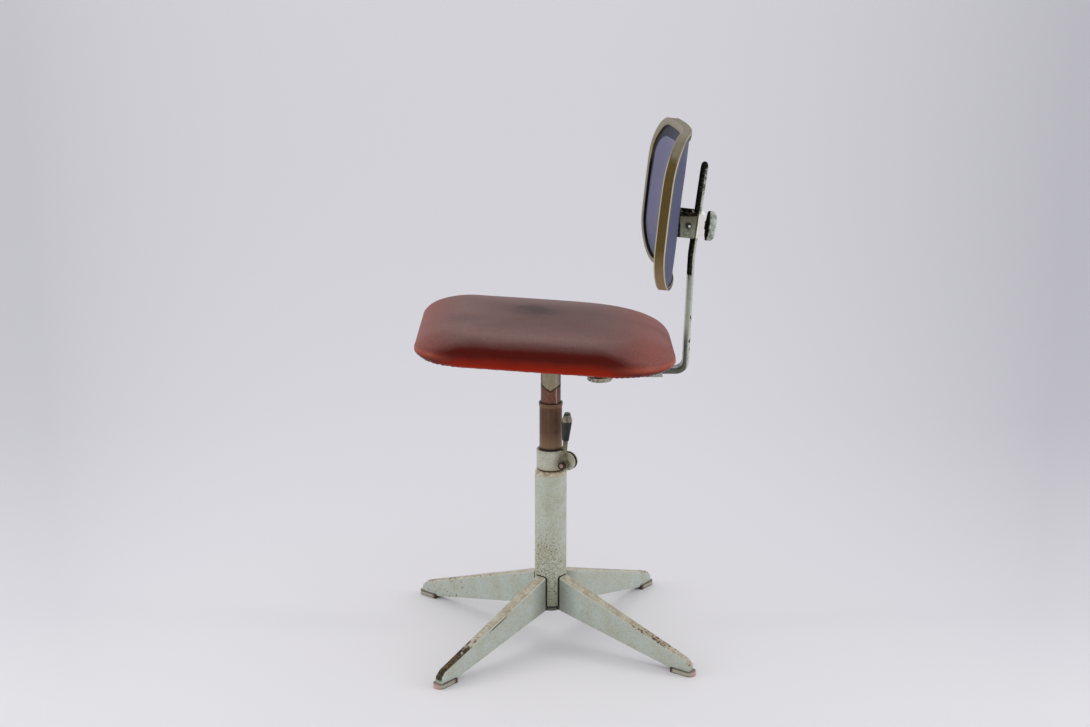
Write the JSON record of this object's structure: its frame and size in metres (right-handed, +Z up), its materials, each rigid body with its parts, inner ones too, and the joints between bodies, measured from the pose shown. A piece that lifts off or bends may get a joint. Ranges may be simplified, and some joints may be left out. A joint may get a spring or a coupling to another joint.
{
  "type": "drafting chair",
  "caption": "Low swivel drafting chair: folded steel legs, telescopic column with lever clamp, padded seat, and a small curved backrest on a sliding bar.",
  "frame": {"origin": "on the floor under the column's axis, midway between the four foot glides", "axes": "+Z up along the column; the sitter faces -Y; +X is the sitter's left"},
  "size_m": [0.4224, 0.452, 0.7808],
  "materials": {
    "frame_paint": "worn grey-green enamel over steel",
    "knob_paint": "worn grey-green enamel",
    "dark_steel": "dull, tarnished",
    "bright_steel": "zinc plated, satin",
    "sleeve_brown": "brown lacquered steel tube",
    "grip_plastic": "black moulded phenolic",
    "glide_plastic": "hard plastic, scuffed",
    "seat_vinyl": "red leathercloth, worn to mauve on top",
    "plywood": "moulded plywood",
    "back_vinyl": "blue-violet leathercloth",
    "trim_rubber": "aged olive-beige rubber"
  },
  "bodies": {
    "base": {"column_tube": "frame_paint", "leg_hub": "frame_paint", "base_cap": "frame_paint", "leg_front_left": "frame_paint", "leg_rear_left": "frame_paint", "leg_rear_right": "frame_paint", "leg_front_right": "frame_paint", "glide_front_left": "glide_plastic", "glide_rear_left": "glide_plastic", "glide_rear_right": "glide_plastic", "glide_front_right": "glide_plastic", "column_bush": "dark_steel", "clamp_collar": "frame_paint", "clamp_nut": "dark_steel"},
    "lever": {"clamp_bolt": "dark_steel", "clamp_lever": "dark_steel", "lever_grip": "grip_plastic"},
    "sleeve": {"sleeve_tube": "sleeve_brown", "guide_ring": "bright_steel", "sleeve_plug": "dark_steel", "thrust_washer": "bright_steel"},
    "seat": {"seat_post": "frame_paint", "seat_carrier": "frame_paint", "bar_guide": "frame_paint", "seat_plate": "frame_paint", "seat_screws": "dark_steel", "seat_shell": "plywood", "seat_cushion": "seat_vinyl"},
    "bar": {"back_bar": "frame_paint", "bar_stop": "dark_steel"},
    "depth_lock": {"depth_knob": "knob_paint", "depth_screw": "dark_steel"},
    "carriage": {"carriage": "dark_steel", "saddle": "bright_steel"},
    "height_lock": {"height_knob": "knob_paint", "height_screw": "dark_steel"},
    "backrest": {"backrest_bracket": "frame_paint", "pivot_pin": "bright_steel", "bracket_rivets": "bright_steel", "backrest_shell": "plywood", "front_pad": "back_vinyl", "rear_cover": "back_vinyl", "edge_trim": "trim_rubber"}
  },
  "joints": [
    {"name": "lever_swing", "type": "hinge", "parent": "base", "child": "lever", "pos_m": [0.014, 0.02425, 0.277], "axis": [-0.866, 0.5, 0], "range_deg": [0, 85]},
    {"name": "seat_height", "type": "slide", "parent": "base", "child": "sleeve", "axis": [0, 0, 1], "range_m": [-0.042, 0.043]},
    {"name": "seat_swivel", "type": "hinge", "parent": "sleeve", "child": "seat", "pos_m": [0, 0, 0.3], "axis": [0, 0, 1], "continuous": true},
    {"name": "back_depth", "type": "slide", "parent": "seat", "child": "bar", "axis": [0, 1, 0], "range_m": [-0.005, 0.031]},
    {"name": "depth_knob_turn", "type": "hinge", "parent": "seat", "child": "depth_lock", "pos_m": [0, 0.073, 0.407], "axis": [0, 0, 1], "range_deg": [0, 540]},
    {"name": "back_height", "type": "slide", "parent": "bar", "child": "carriage", "axis": [0, 0.1253, 0.9921], "range_m": [-0.02, 0.06]},
    {"name": "height_knob_turn", "type": "hinge", "parent": "carriage", "child": "height_lock", "pos_m": [0, 0.21142, 0.63743], "axis": [0, 0.9921, -0.1253], "range_deg": [0, 540]},
    {"name": "back_tilt", "type": "hinge", "parent": "carriage", "child": "backrest", "pos_m": [0, 0.19892, 0.63901], "axis": [1, 0, 0], "range_deg": [-10, 12]}
  ]
}
